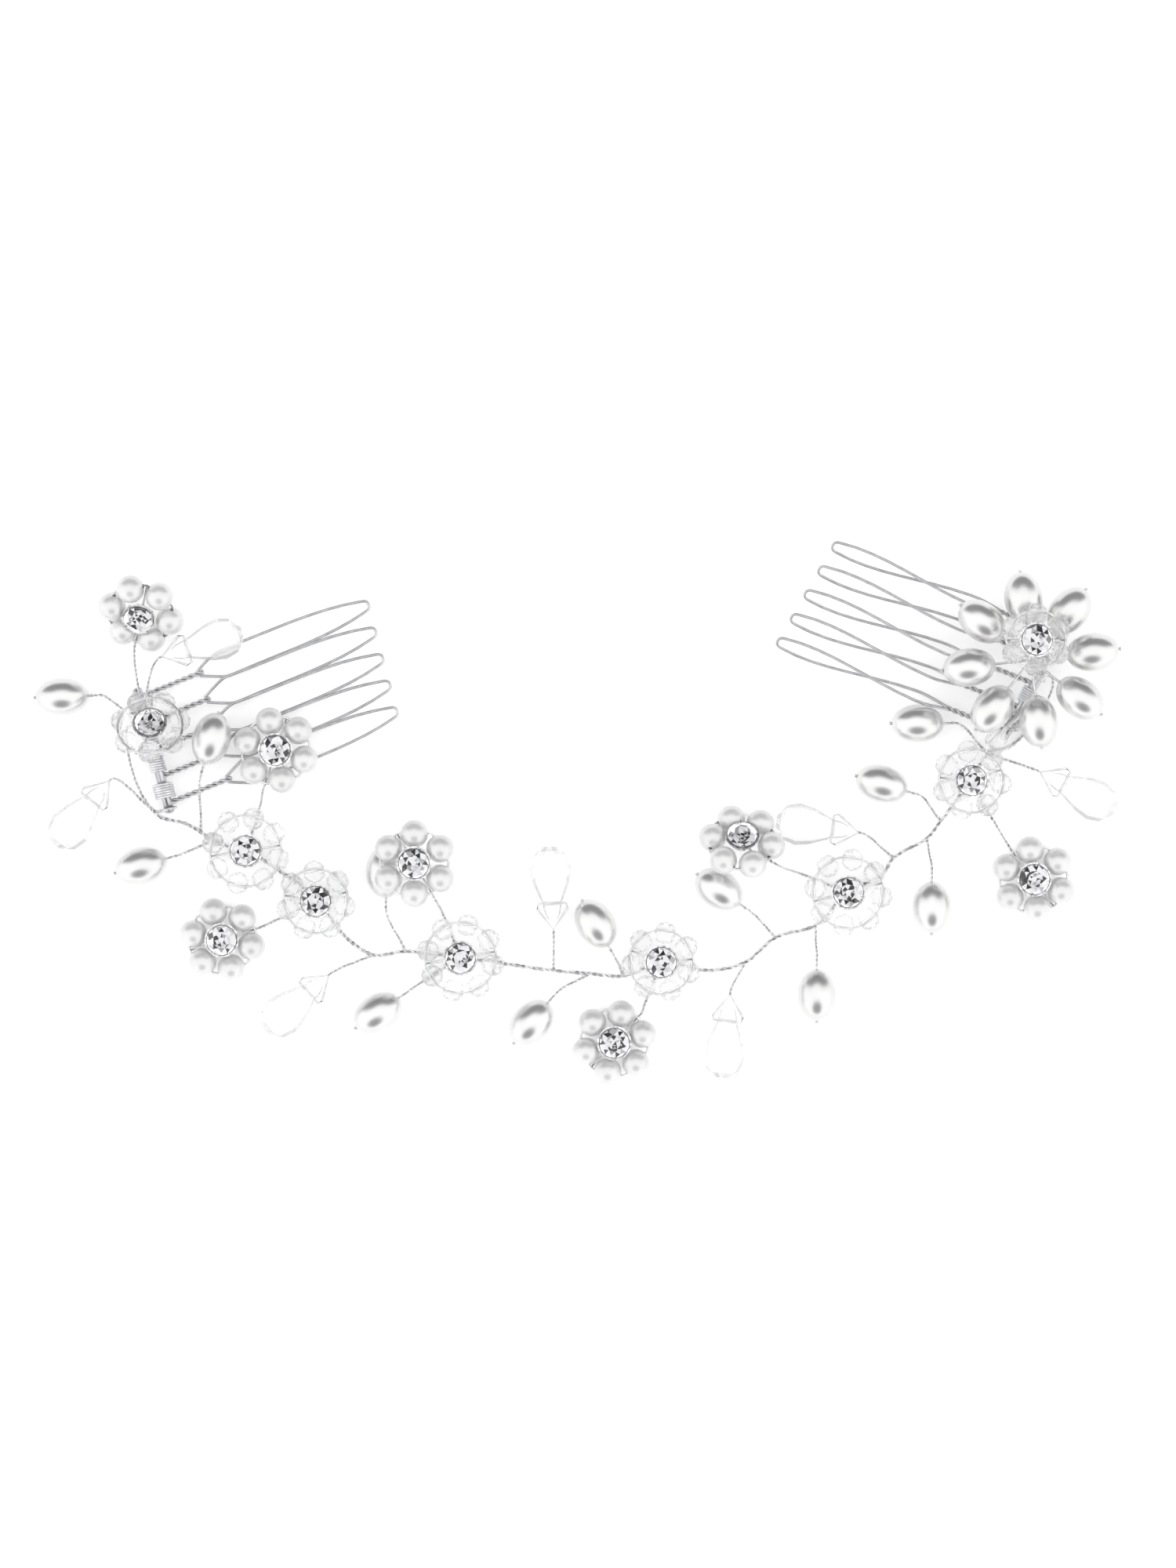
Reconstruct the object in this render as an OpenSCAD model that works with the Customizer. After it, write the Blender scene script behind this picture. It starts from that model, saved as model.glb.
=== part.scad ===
// Hair vine: a stiff twisted wire with pearl sprigs, bead flowers and glass drops, a wire comb at each end.
// It lies face up on z = 0, with the combs at the back (+Y). Sizes are in mm.

/* [Beads] */
// Length of an oval pearl along its hole
oval_len = 8.7; // [7.5:0.1:9.5]
// Thickness of an oval pearl
oval_d = 6.3; // [5.4:0.1:6.6]
// Diameter of a round pearl
pearl_d = 4.6; // [4:0.1:4.8]
// Diameter of a clear faceted bead
crystal_d = 3.9; // [3.4:0.1:4.1]
// Free space between two neighbouring beads of a flower
bead_gap = 0.3; // [0.2:0.05:0.6]
// Length of a glass drop
drop_len = 12; // [10:0.5:13]
// Widest part of a glass drop
drop_w = 7; // [5.5:0.1:7.6]
// Thickness of a glass drop
drop_t = 4.6; // [4:0.1:5]

/* [Flowers] */
// Round pearls in a pearl flower
pearls = 6; // [5:1:7]
// Clear beads in a large crystal flower; a small one has one less
crystals = 8; // [8:1:9]
// Oval petals of the large flower
petals = 8; // [6:1:8]
// Distance of the petals' centres from the middle of the large flower
petal_ring = 10.2; // [9.8:0.1:12]
// Height of the large flower's petals over the table
petal_z = 10.4; // [10.2:0.1:12]

/* [Centre stones] */
// Diameter of a centre stone
stone_d = 4.9; // [4.6:0.1:5]
// Height of its metal cup
cup_h = 1.9; // [1.6:0.1:2.4]
// Wall of the cup at the rim
cup_wall = 0.3; // [0.25:0.05:0.5]
// Facets around a centre stone
stone_sides = 8; // [8:1:10]

/* [Wires] */
// The twisted main wire
main_d = 0.7; // [0.6:0.05:1]
// The twisted wire of a sprig
sprig_d = 0.5; // [0.45:0.05:0.8]
// The single wire that runs through the beads
thread_d = 0.4; // [0.3:0.05:0.5]
// Free space around a wire in its hole, and under a cup
clearance = 0.15; // [0.1:0.05:0.25]

/* [Combs] */
// Distance between two teeth
pitch = 4.55; // [4.45:0.05:5]
// Wire of the teeth
tooth_d = 0.5; // [0.4:0.05:0.8]
// Twisted part of a tooth, beside the bar
stem_d = 0.95; // [0.8:0.05:1.4]
// Twisted length of a tooth, from the bar to where its loop opens
stem_len = 11.4; // [8:0.2:14]
// Whole length of a tooth, from the bar
tooth_len = 41.2; // [36:0.2:44]
// Diameter of the bar
bar_d = 1.6; // [1.4:0.1:2]
// Diameter over the wire wrapped round the middle of the bar
wrap_d = 2.8; // [2.6:0.1:3]
// Diameter over the thick coils near the ends of the bar
coil_d = 3.6; // [3:0.1:3.8]

/* [Hidden] */
wire_sides = 5;
hole_d = thread_d + 2 * clearance;

// Middle of the whole part before it is centred on the origin: x and y
middle = [0.56, 0];

// The main wire, flat on the table from the left comb to the right one: x and y
route = [
    [-68.4, -0.5], [-66.6, -1.1], [-64.2, -1.6], [-61.6, -3.0], [-59.7, -4.5], [-54.0, -6.1],
    [-48.6, -9.4], [-42.4, -14.4], [-38.1, -19.9], [-33.0, -23.4], [-27.6, -22.8],
    [-18.5, -23.8], [-10.4, -25.0], [-3.1, -26.0], [3.0, -26.5], [8.5, -26.9],
    [14.7, -24.5], [22.5, -26.0], [28.7, -24.6], [33.7, -20.5], [40.3, -18.5],
    [45.6, -13.0], [51.4, -10.0], [53.3, -7.3], [58.8, -4.0], [61.1, -1.2],
    [66.0, 5.5], [69.0, 9.9], [72.6, 11.2], [74.8, 13.2]
];
low_z = main_d / 2;
function station(i) = [route[i][0], route[i][1], low_z];

// Distance from the last tooth to a vine loop beyond it, and to the end of the bar
beyond = stem_d / 2 + clearance + sprig_d / 2 + 0.05;
bar_end = beyond + sprig_d / 2 + clearance;

// Combs: x, y, z of the bar's middle, heading square to the bar, rise of the teeth, roll, lean of the teeth,
// vine loops on the bar (from its middle), offset of the upper leg at the shoulder, and at the tip
combs = [
    [-69.3, 10.5, 1.9, 15, 0, 0, 7, [1.5 * pitch, -2 * pitch - beyond], [2.2, 0.8], [0.9, 0.05]],
    [76.4, 21.5, 2.75, 150.7, 5, -6, 8, [-0.5 * pitch, 1.5 * pitch], [0.6, 2.0], [-0.85, 0.3]]
];
teeth = 5;
bar_len = (teeth - 1) * pitch + 2 * bar_end;
loop_r = bar_d / 2 + clearance + sprig_d / 2;
// Distance from a bar's axis at which a wire passes beside its coils
beside = coil_d / 2 + clearance + sprig_d / 2;

// Oval pearls: station that the sprig leaves from, x, y and extra height where the wire enters, heading
ovals = [
    [-1, -80.0, 19.5, 0, 182], [4, -67.1, -7.4, 0, 196], [3, -60.6, 8.2, 3.3, 74], [11, -28.6, -30.4, 0, 215],
    [14, -4.0, -31.2, 0, 230], [15, 6.0, -21.9, 0, 120], [19, 27.8, -15.0, 0, 145], [20, 40.4, -25.6, 0, 270],
    [25, 55.3, 3.7, 0, 163], [24, 59.4, -11.1, 0, 270], [27, 61.4, 14.95, 0, 180], [10, -30.8, -14.0, 0, 92]
];
oval_z = oval_d / 2;

// Pearl flowers: station, x, y and extra height of the ring corner where the sprig arrives, heading, rise,
// roll
pearl_flowers = [
    [-3, -72.2, 28.5, 0, 76, 35, 0], [5, -50.6, 5.1, 3.2, 72, 0, 0], [7, -52.5, -19.1, 0, 198, 0, 0],
    [11, -23.1, -13.0, 6.6, 120, 0, 0], [16, 10.8, -33.7, 0, 227, 0, 0], [21, 32.3, -7.5, 5.5, 146, -22, 30],
    [26, 72.9, -6.3, 0, 307, 0, 0]
];
pearl_r = pearl_d / 2;
pearl_z = pearl_r;
function ring_of(count, d) = (d + bead_gap) / 2 / sin(180 / count);
pearl_ring = ring_of(pearls, pearl_d);

// Crystal flowers on the main wire: station, turn of the ring, beads
crystal_flowers = [
    [5, 9, crystals], [7, 16, crystals - 1], [11, 10, crystals], [16, 5, crystals - 1], [21, 15, crystals],
    [26, 20, crystals - 1]
];
crystal_z = low_z + main_d / 2 + clearance + crystal_d / 2;
run_under = ring_of(crystals, crystal_d) + crystal_d / 2 + clearance;

// Crystal flower over the left comb's bar: ring corner x, y, z, heading, rise, beads
bar_flower = [-69.3, 19.1, 6.1, 270, 30, crystals - 1];

// Large flower: x and y of its middle, and of the crystals on top of it
large = [75.2, 25.3];
petal_turn = 7;
top_flower = [75.6, 28.4];
top_beads = 6;
top_z = petal_z + oval_d / 2 + clearance + crystal_d / 2;
hub_d = 2.4;
hub_h = 1;

// Glass drops: station, x, y and extra height where the fork starts, heading
drops = [
    [-2, -76.6, 5.4, 0, 230], [9, -40.3, -26.7, 0, 221], [18, 26.1, -29.9, 0, 264], [23, 47.4, -3.1, 0, 172],
    [27, 77.4, 6.9, 0, 333], [13, -3.1, -19.2, 0, 93], [-3, -67.6, 25.9, 3.2, 17]
];
drop_z = drop_t / 2;
fork_len = 4.4;
fork_bend = 0.8;
fork_w = 0.72 * drop_w;
drop_hole = 2.6;

// Clear beads on a wire over the right bar's end: x, y and height of the first, heading
end_beads = [69.8, 12.3, 6.75, 47];
end_step = crystal_d + bead_gap;
// How far their wire runs straight behind and in front of the first one, in steps of a bead
end_bend = 1.7;
end_front = 0.6;
// Where it turns down to the main wire
end_turn = [70, 10.3, 5.3];

pearl_white = [0.95, 0.94, 0.91];
clear_glass = [0.85, 0.9, 0.93];
silver = [0.78, 0.78, 0.8];

// Helpers for points and wires

function unit(v) = v / norm(v);
function ahead(a) = [cos(a), sin(a), 0];
function turn_x(p, a) = [p[0], p[1] * cos(a) - p[2] * sin(a), p[1] * sin(a) + p[2] * cos(a)];
function turn_y(p, a) = [p[0] * cos(a) + p[2] * sin(a), p[1], -p[0] * sin(a) + p[2] * cos(a)];
function turn_z(p, a) = [p[0] * cos(a) - p[1] * sin(a), p[0] * sin(a) + p[1] * cos(a), p[2]];
function comb_point(c, p) = [c[0], c[1], c[2]] + turn_z(turn_y(turn_x(p, c[5]), -c[4]), c[3]);

// One section of a wire: corners around point b on its way from a to c
function section(a, b, c, d, up) =
    let (
        t1 = norm(b - a) < 0.001 ? unit(c - b) : unit(b - a),
        t2 = norm(c - b) < 0.001 ? t1 : unit(c - b),
        t = unit(t1 + t2),
        s = unit(cross(t, up)),
        v = cross(s, t),
        m = 1 / max(0.6, t * t1)
    )
    [
        for (j = [0:wire_sides - 1])
            b + d / 2 * (m * cos(360 * j / wire_sides) * s + sin(360 * j / wire_sides) * v)
    ];

// A wire through points, of one thickness or with one for each point; a closed one joins its ends
module wire(pts, d, up = [0, 0, 1], closed = false) {
    n = len(pts);
    k = wire_sides;
    sections = [
        for (i = [0:n - 1])
            section(
                closed ? pts[(i + n - 1) % n] : pts[max(i - 1, 0)],
                pts[i],
                closed ? pts[(i + 1) % n] : pts[min(i + 1, n - 1)],
                is_list(d) ? d[i] : d, up
            )
    ];
    sides = [
        for (i = [0:closed ? n - 1 : n - 2], j = [0:k - 1])
            [i * k + j, i * k + (j + 1) % k, ((i + 1) % n) * k + (j + 1) % k, ((i + 1) % n) * k + j]
    ];
    ends = closed ? [] : [[for (j = [k - 1:-1:0]) j], [for (j = [0:k - 1]) (n - 1) * k + j]];
    polyhedron(points = [for (s = sections) each s], faces = concat(sides, ends), convexity = 6);
}

// Frames that parts are placed in

module at_comb(i) {
    c = combs[i];
    translate([c[0], c[1], c[2]]) rotate([0, 0, c[3]]) rotate([0, -c[4], 0]) rotate([c[5], 0, 0]) children();
}

// Middle of a pearl flower, with its sprig arriving from -x
module at_pearl_flower(i) {
    f = pearl_flowers[i];
    translate([f[1], f[2], pearl_z + f[3]]) rotate([0, 0, f[4]]) rotate([0, -f[5], 0])
        rotate([f[6], 0, 0]) translate([pearl_ring / cos(180 / pearls), 0, 0]) children();
}

module at_crystal_flower(i) {
    f = crystal_flowers[i];
    p = station(f[0]);
    translate([p[0], p[1], crystal_z]) rotate([0, 0, f[1]]) children();
}

module at_bar_flower() {
    f = bar_flower;
    translate([f[0], f[1], f[2]]) rotate([0, 0, f[3]]) rotate([0, -f[4], 0])
        translate([ring_of(f[5], crystal_d) / cos(180 / f[5]), 0, 0]) children();
}

module at_top_flower() {
    translate([top_flower[0], top_flower[1], top_z]) children();
}

module at_oval(i) {
    o = ovals[i];
    translate([o[1], o[2], oval_z + o[3]]) rotate([0, 0, o[4]]) translate([oval_len / 2, 0, 0]) children();
}

// Start of a drop's fork, with the drop along +x
module at_drop(i) {
    f = drops[i];
    translate([f[1], f[2], drop_z + f[3]]) rotate([0, 0, f[4]]) children();
}

// Heights at which a cup stands in a flower, over the plane of the ring
pearl_hub = -0.4;
crystal_hub = -1.15;
top_hub = -0.15;
cup_gap = thread_d / 2 + clearance;

// Beads

module oval_bead() {
    steps = 16;
    difference() {
        rotate([0, 90, 0])
            rotate_extrude($fn = 48)
                polygon([
                    for (i = [0:steps])
                        [oval_d / 2 * sin(180 * i / steps), -oval_len / 2 * cos(180 * i / steps)]
                ]);
        rotate([0, 90, 0]) cylinder(d = hole_d, h = oval_len + 1, center = true, $fn = 24);
    }
}

module round_bead() {
    difference() {
        sphere(d = pearl_d, $fn = 48);
        rotate([90, 0, 0]) cylinder(d = hole_d, h = pearl_d + 1, center = true, $fn = 24);
    }
}

// Clear bead with flat ends and a belt, its hole along y
module faceted_bead(sides = 7) {
    r = crystal_d / 2;
    belt = [[-0.88, 0.42], [-0.34, 1], [0.34, 1], [0.88, 0.42]];
    difference() {
        rotate([90, 0, 0]) polyhedron(
            points = [
                for (b = belt, j = [0:sides - 1])
                    [r * b[1] * cos(360 * (j + 0.5) / sides), r * b[1] * sin(360 * (j + 0.5) / sides),
                     r * b[0]]
            ],
            faces = concat(
                [
                    for (i = [0:2], j = [0:sides - 1])
                        [i * sides + j, (i + 1) * sides + j, (i + 1) * sides + (j + 1) % sides,
                         i * sides + (j + 1) % sides]
                ],
                [[for (j = [0:sides - 1]) j], [for (j = [sides - 1:-1:0]) 3 * sides + j]]
            )
        );
        rotate([90, 0, 0]) cylinder(d = hole_d, h = crystal_d + 1, center = true, $fn = 24);
    }
}

module bead_ring(count, radius) {
    for (i = [0:count - 1])
        rotate([0, 0, 360 * (i + 0.5) / count]) translate([radius, 0, 0]) children();
}

// Flat faceted drop from its narrow end at x = 0, drilled across near that end
module drop_body() {
    sides = 10;
    // share of the length, share of the width
    shape = [[0, 0.22], [0.08, 0.37], [0.25, 0.5], [0.5, 0.86], [0.7, 1], [0.88, 0.82], [1, 0.3]];
    last = len(shape) - 1;
    difference() {
        polyhedron(
            points = [
                for (s = shape, j = [0:sides - 1])
                    [drop_len * s[0], drop_w / 2 * s[1] * cos(360 * j / sides),
                     drop_t / 2 * s[1] * sin(360 * j / sides)]
            ],
            faces = concat(
                [
                    for (i = [0:last - 1], j = [0:sides - 1])
                        [i * sides + j, i * sides + (j + 1) % sides, (i + 1) * sides + (j + 1) % sides,
                         (i + 1) * sides + j]
                ],
                [[for (j = [sides - 1:-1:0]) j], [for (j = [0:sides - 1]) last * sides + j]]
            )
        );
        translate([drop_hole, 0, 0]) rotate([90, 0, 0])
            cylinder(d = hole_d, h = drop_w + 1, center = true, $fn = 24);
    }
}

// Flat point of a centre stone: its radius and height as shares of the stone's radius
culet_r = 0.25;
culet_z = -0.42;

// Centre stone with a table, crown facets, girdle and a pavilion, its girdle at z = 0
module stone() {
    n = stone_sides;
    r = stone_d / 2;
    // radius and height as shares of the stone's radius, turn in facets
    levels = [[culet_r, culet_z, 0], [1, -0.06, 0], [1, 0.05, 0], [0.84, 0.2, 0.5], [0.56, 0.34, 0]];
    polyhedron(
        points = [
            for (l = levels, j = [0:n - 1])
                [r * l[0] * cos(360 * (j + l[2]) / n), r * l[0] * sin(360 * (j + l[2]) / n), r * l[1]]
        ],
        faces = concat(
            [
                for (i = [0, 1], j = [0:n - 1])
                    [i * n + j, (i + 1) * n + j, (i + 1) * n + (j + 1) % n, i * n + (j + 1) % n]
            ],
            [for (j = [0:n - 1]) [2 * n + j, 3 * n + j, 2 * n + (j + 1) % n]],
            [for (j = [0:n - 1]) [3 * n + j, 3 * n + (j + 1) % n, 2 * n + (j + 1) % n]],
            [for (j = [0:n - 1]) [3 * n + j, 4 * n + j, 4 * n + (j + 1) % n]],
            [for (j = [0:n - 1]) [3 * n + j, 4 * n + (j + 1) % n, 3 * n + (j + 1) % n]],
            [[for (j = [0:n - 1]) j], [for (j = [n - 1:-1:0]) 4 * n + j]]
        )
    );
}

// Height of the stone's girdle over the foot of its cup, and free space between the stone and its claws
seat_z = cup_h + 0.2;
stone_gap = 0.1;
rim_r = stone_d / 2 + stone_gap + cup_wall;
claw_r = 0.15;
claw_h = 1;

// Metal cup with a conical pocket and four claws, standing on z = 0
module cup() {
    foot = 0.66 * rim_r;
    // free space under the stone, around its flat point and around its girdle
    under = 0.15;
    pocket_low = 0.12;
    pocket_high = 0.13;
    pocket_z = seat_z + culet_z * stone_d / 2 - under;
    difference() {
        cylinder(r1 = foot, r2 = rim_r, h = cup_h, $fn = 40);
        translate([0, 0, pocket_z])
            cylinder(r1 = culet_r * stone_d / 2 + pocket_low, r2 = stone_d / 2 + pocket_high,
                     h = cup_h - pocket_z + 0.001, $fn = 40);
    }
    for (a = [45:90:315])
        rotate([0, 0, a]) translate([stone_d / 2 + stone_gap + claw_r, 0, cup_h - claw_h / 2])
            cylinder(r = claw_r, h = claw_h, $fn = 16);
}

module stone_in_cup() {
    translate([0, 0, seat_z]) stone();
}

// Wires of a flower: the ring through the beads, and one across it, under the beads, that carries the cup
pearl_sag = 1.2;
crystal_sag = 1.35;
module ring_wires(count, radius, hub, sag) {
    corner = radius / cos(180 / count);
    far = 360 / count * floor(count / 2);
    wire([for (i = [0:count - 1]) corner * ahead(360 * i / count)], thread_d, closed = true);
    wire([[corner, 0, 0], [corner - 0.5, 0, -sag], [0, 0, hub],
          (corner - 0.5) * ahead(far) - [0, 0, sag], corner * ahead(far)], thread_d);
}

// Points of a wire that leaves loop g of comb c: to its side, or up from its top
function from_side(c, g) =
    [
        for (r = [loop_r, beside + (main_d - sprig_d) / 2])
            comb_point(combs[c], [-r, combs[c][7][g], 0])
    ];
function from_top(c, g) = [for (r = [loop_r, beside]) comb_point(combs[c], [0, combs[c][7][g], r])];

// First points of a sprig: a station, or on the left comb's upper loop (-1 its side, -3 its top), or its
// lower loop (-2)
function sprig_start(i) =
    i == -1 ? from_side(0, 0)
    : i == -2 ? from_side(0, 1)
    : i == -3 ? from_top(0, 0)
    : [station(i)];

// Level part of a sprig: one from the middle of a flower stays low until it is clear of the ring
bare_run = 1.2;
function sprig_run(i) = len([for (f = crystal_flowers) if (f[0] == i) i]) > 0 ? run_under : bare_run;

// A sprig of twisted wire: level for run, then straight to where it enters a bead
function sprig_line(i, finish, heading, reach, run) =
    let (
        start = sprig_start(i),
        last = start[len(start) - 1],
        knee = finish - reach * ahead(heading),
        way = unit([knee[0] - last[0], knee[1] - last[1], 0])
    )
    concat(start, [last + run * way, knee, finish]);

module sprig(i, finish, heading, reach, run) {
    wire(sprig_line(i, finish, heading, reach, run), sprig_d, i == -3 ? [1, 0, 0] : [0, 0, 1]);
}

// Wire through a bead that ends in a small head: distance from its start, thickness
head_d = 2 * thread_d;
function pin(long) =
    [[0, thread_d], [long + 0.12, thread_d], [long + 0.15, head_d], [long + 0.35, head_d]];

// Straight last part of a sprig, before a bead
oval_reach = 2;
pearl_reach = 1;
drop_reach = 0.6;
bar_flower_reach = 0.8;
bar_flower_run = 1.4;

// A sprig that goes on through an oval pearl
module oval_sprig(o) {
    before = 0.3;
    tip = [o[1], o[2], oval_z + o[3]];
    start = tip - before * ahead(o[4]);
    line = sprig_line(o[0], start - 0.1 * ahead(o[4]), o[4], oval_reach, sprig_run(o[0]));
    through = pin(oval_len + before);
    wire(concat(line, [for (p = through) start + p[0] * ahead(o[4])]),
         concat([for (p = line) sprig_d], [for (p = through) p[1]]));
}

module vine_wire() {
    color(silver) union() {
        wire(concat(from_side(0, 1), [for (i = [0:len(route) - 1]) station(i)],
                    [for (k = [1, 0]) from_side(1, 1)[k]]), main_d);
        // loops round the two bars, joined by a wire along each bar
        for (c = [0, 1]) {
            loops = combs[c][7];
            at_comb(c) {
                for (y = loops)
                    translate([0, y, 0])
                        wire([for (a = [0:45:315]) loop_r / cos(22.5) * [cos(a), 0, sin(a)]], sprig_d,
                             [0, 1, 0], true);
                wire([[-loop_r, loops[0], 0], [-beside, loops[0], 0],
                      [-beside, loops[1], 0], [-loop_r, loops[1], 0]], sprig_d);
            }
        }
        for (o = ovals) oval_sprig(o);
        for (i = [0:len(pearl_flowers) - 1]) {
            f = pearl_flowers[i];
            sprig(f[0], [f[1], f[2], pearl_z + f[3]], f[4], pearl_reach, sprig_run(f[0]));
            at_pearl_flower(i) rotate([0, 0, 180]) ring_wires(pearls, pearl_ring, pearl_hub, pearl_sag);
        }
        for (i = [0:len(crystal_flowers) - 1])
            at_crystal_flower(i) {
                count = crystal_flowers[i][2];
                ring_wires(count, ring_of(count, crystal_d), crystal_hub, crystal_sag);
                wire([[0, 0, crystal_hub], [0, 0, low_z - crystal_z]], thread_d, [1, 0, 0]);
            }
        sprig(-3, [bar_flower[0], bar_flower[1], bar_flower[2]], bar_flower[3],
              bar_flower_reach, bar_flower_run);
        at_bar_flower() rotate([0, 0, 180])
            ring_wires(bar_flower[5], ring_of(bar_flower[5], crystal_d), crystal_hub, crystal_sag);
        // large flower on a post from the right bar
        hub = [large[0], large[1], petal_z];
        wire(concat(from_top(1, 0), [hub]), main_d, [1, 0, 0]);
        hull() translate(hub - [0, 0, hub_h / 2]) cylinder(d = hub_d, h = hub_h, $fn = 8);
        for (i = [0:petals - 1]) {
            way = ahead(360 * i / petals + petal_turn);
            petal_pin = pin(petal_ring + oval_len / 2);
            wire([for (p = petal_pin) hub + p[0] * way], [for (p = petal_pin) p[1]]);
        }
        wire([hub, [top_flower[0], top_flower[1], top_z + top_hub]], main_d, [1, 0, 0]);
        at_top_flower() ring_wires(top_beads, ring_of(top_beads, crystal_d), top_hub, crystal_sag);
        // wire that carries the beads over the right bar's end
        e = end_beads;
        way = ahead(e[3]);
        first = [e[0], e[1], e[2]];
        bend = first + end_bend * end_step * way;
        front = first - end_front * end_step * way;
        corner = 0.3;
        wire(concat(from_top(1, 1),
                    [bend + 0.6 * way - [0, 0, 1.2], bend, bend - corner * way, front + corner * way, front,
                     end_turn, station(28)]),
             thread_d, [1, 0, 0]);
        for (i = [0:len(drops) - 1]) {
            f = drops[i];
            half = fork_w / 2;
            sprig(f[0], [f[1], f[2], drop_z + f[3]], f[4], drop_reach, sprig_run(f[0]));
            at_drop(i) wire([[0, 0, 0], [fork_len - fork_bend, half, 0], [fork_len, half - 0.2, 0],
                             [fork_len, 0.2 - half, 0], [fork_len - fork_bend, -half, 0]],
                            thread_d, closed = true);
        }
    }
}

// A tooth's loop: two legs that leave the stem, spread to a shoulder and close at the tip
module tooth_loop(shoulder, tip) {
    // distance from the bar, share of the shoulder's offset
    spread = [[stem_len - 0.8, 0.12], [stem_len + 1.7, 0.72], [stem_len + 3.4, 1], [stem_len + 5.4, 1]];
    leg = concat([for (s = spread) [s[0], s[1] * shoulder[0], s[1] * shoulder[1]]],
                 [[tooth_len - 1.1, tip[0], tip[1]], [tooth_len - 0.45, 0.7 * tip[0], 0.7 * tip[1]]]);
    last = len(leg) - 1;
    wire(concat(leg, [[tooth_len - tooth_d / 2, 0, 0]],
                [for (i = [last:-1:0]) [leg[i][0], -leg[i][1], -leg[i][2]]]), tooth_d);
}

module comb(i) {
    c = combs[i];
    color(silver) at_comb(i) {
        hull() rotate([90, 0, 0]) cylinder(d = bar_d, h = bar_len, center = true, $fn = 12);
        for (t = [-(teeth - 1) / 2:(teeth - 1) / 2])
            translate([0, t * pitch, 0]) rotate([0, 0, c[6]]) {
                hull() rotate([0, 90, 0]) cylinder(d = stem_d, h = stem_len, $fn = 8);
                tooth_loop(c[8], c[9]);
            }
        // rounded ends of the bar
        for (s = [0, 1])
            hull() rotate([90, 0, 0])
                cylinder(d = bar_d * (0.7 - 0.2 * s), h = bar_len + 0.4 + 0.3 * s, center = true, $fn = 8);
    }
}

// Wire wrapped round the bar between the teeth, as ridged sleeves: thick ones near the bar's ends
module bar_wrap(i) {
    c = combs[i];
    last = (teeth - 2) / 2;
    color(silver) at_comb(i)
        for (g = [-last:last]) {
            size = abs(g) == last ? coil_d : wrap_d;
            free = pitch - stem_d / cos(c[6]) - size * tan(c[6]) - 2 * clearance;
            looped = len([for (y = c[7]) if (y == g * pitch) y]) > 0;
            for (s = looped ? [-1, 1] : [0]) {
                long = looped ? (free - main_d - 2 * clearance) / 2 : free;
                at = looped ? s * (main_d / 2 + clearance + long / 2) : 0;
                translate([0, g * pitch + at, 0]) rotate([90, 0, 0]) sleeve(long, size);
            }
        }
}

// A sleeve with a ridge for each turn of the wire
module sleeve(long, size) {
    ridge = 0.62;
    groove = 0.2;
    turns = max(1, round(long / ridge));
    step = long / turns;
    rotate_extrude($fn = 40)
        polygon(concat(
            [[bar_d / 2 + clearance, -long / 2]],
            [
                for (k = [0:turns - 1])
                    each [[size / 2 - groove, -long / 2 + k * step],
                          [size / 2, -long / 2 + (k + 0.3) * step],
                          [size / 2, -long / 2 + (k + 0.7) * step]]
            ],
            [[size / 2 - groove, long / 2], [bar_d / 2 + clearance, long / 2]]
        ));
}

module oval_pearl(i) {
    color(pearl_white) at_oval(i) oval_bead();
}

module pearl_flower(i) {
    color(pearl_white) at_pearl_flower(i) rotate([0, 0, 180]) bead_ring(pearls, pearl_ring) round_bead();
}

module crystal_ring(count) {
    bead_ring(count, ring_of(count, crystal_d)) faceted_bead();
}

module crystal_flower(i) {
    color(clear_glass) at_crystal_flower(i) crystal_ring(crystal_flowers[i][2]);
}

module bar_flower_crystals() {
    color(clear_glass) at_bar_flower() rotate([0, 0, 180]) crystal_ring(bar_flower[5]);
}

module large_flower_petals() {
    color(pearl_white) translate([large[0], large[1], petal_z])
        for (i = [0:petals - 1])
            rotate([0, 0, 360 * i / petals + petal_turn]) translate([petal_ring, 0, 0]) oval_bead();
}

module top_flower_crystals() {
    color(clear_glass) at_top_flower() crystal_ring(top_beads);
}

module end_crystals() {
    e = end_beads;
    color(clear_glass) translate([e[0], e[1], e[2]]) rotate([0, 0, e[3]])
        for (i = [0, 1])
            translate([i * end_step, 0, 0]) rotate([0, 0, -90]) faceted_bead();
}

module glass_drop(i) {
    color(clear_glass) at_drop(i) translate([fork_len - drop_hole, 0, 0]) drop_body();
}

// Foot of the cup in each kind of flower
module on_hub(hub) {
    translate([0, 0, hub + cup_gap]) children();
}

module stone_cups() {
    color(silver) {
        for (i = [0:len(pearl_flowers) - 1])
            at_pearl_flower(i) on_hub(pearl_hub) cup();
        for (i = [0:len(crystal_flowers) - 1])
            at_crystal_flower(i) on_hub(crystal_hub) cup();
        at_bar_flower() on_hub(crystal_hub) cup();
        at_top_flower() on_hub(top_hub) cup();
    }
}

module pearl_flower_stone(i) {
    color(clear_glass) at_pearl_flower(i) on_hub(pearl_hub) stone_in_cup();
}

module crystal_flower_stone(i) {
    color(clear_glass) at_crystal_flower(i) on_hub(crystal_hub) stone_in_cup();
}

module bar_flower_stone() {
    color(clear_glass) at_bar_flower() on_hub(crystal_hub) stone_in_cup();
}

module top_flower_stone() {
    color(clear_glass) at_top_flower() on_hub(top_hub) stone_in_cup();
}

// The whole part is centred on the origin
module centred() {
    translate([-middle[0], -middle[1], 0]) children();
}

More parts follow.
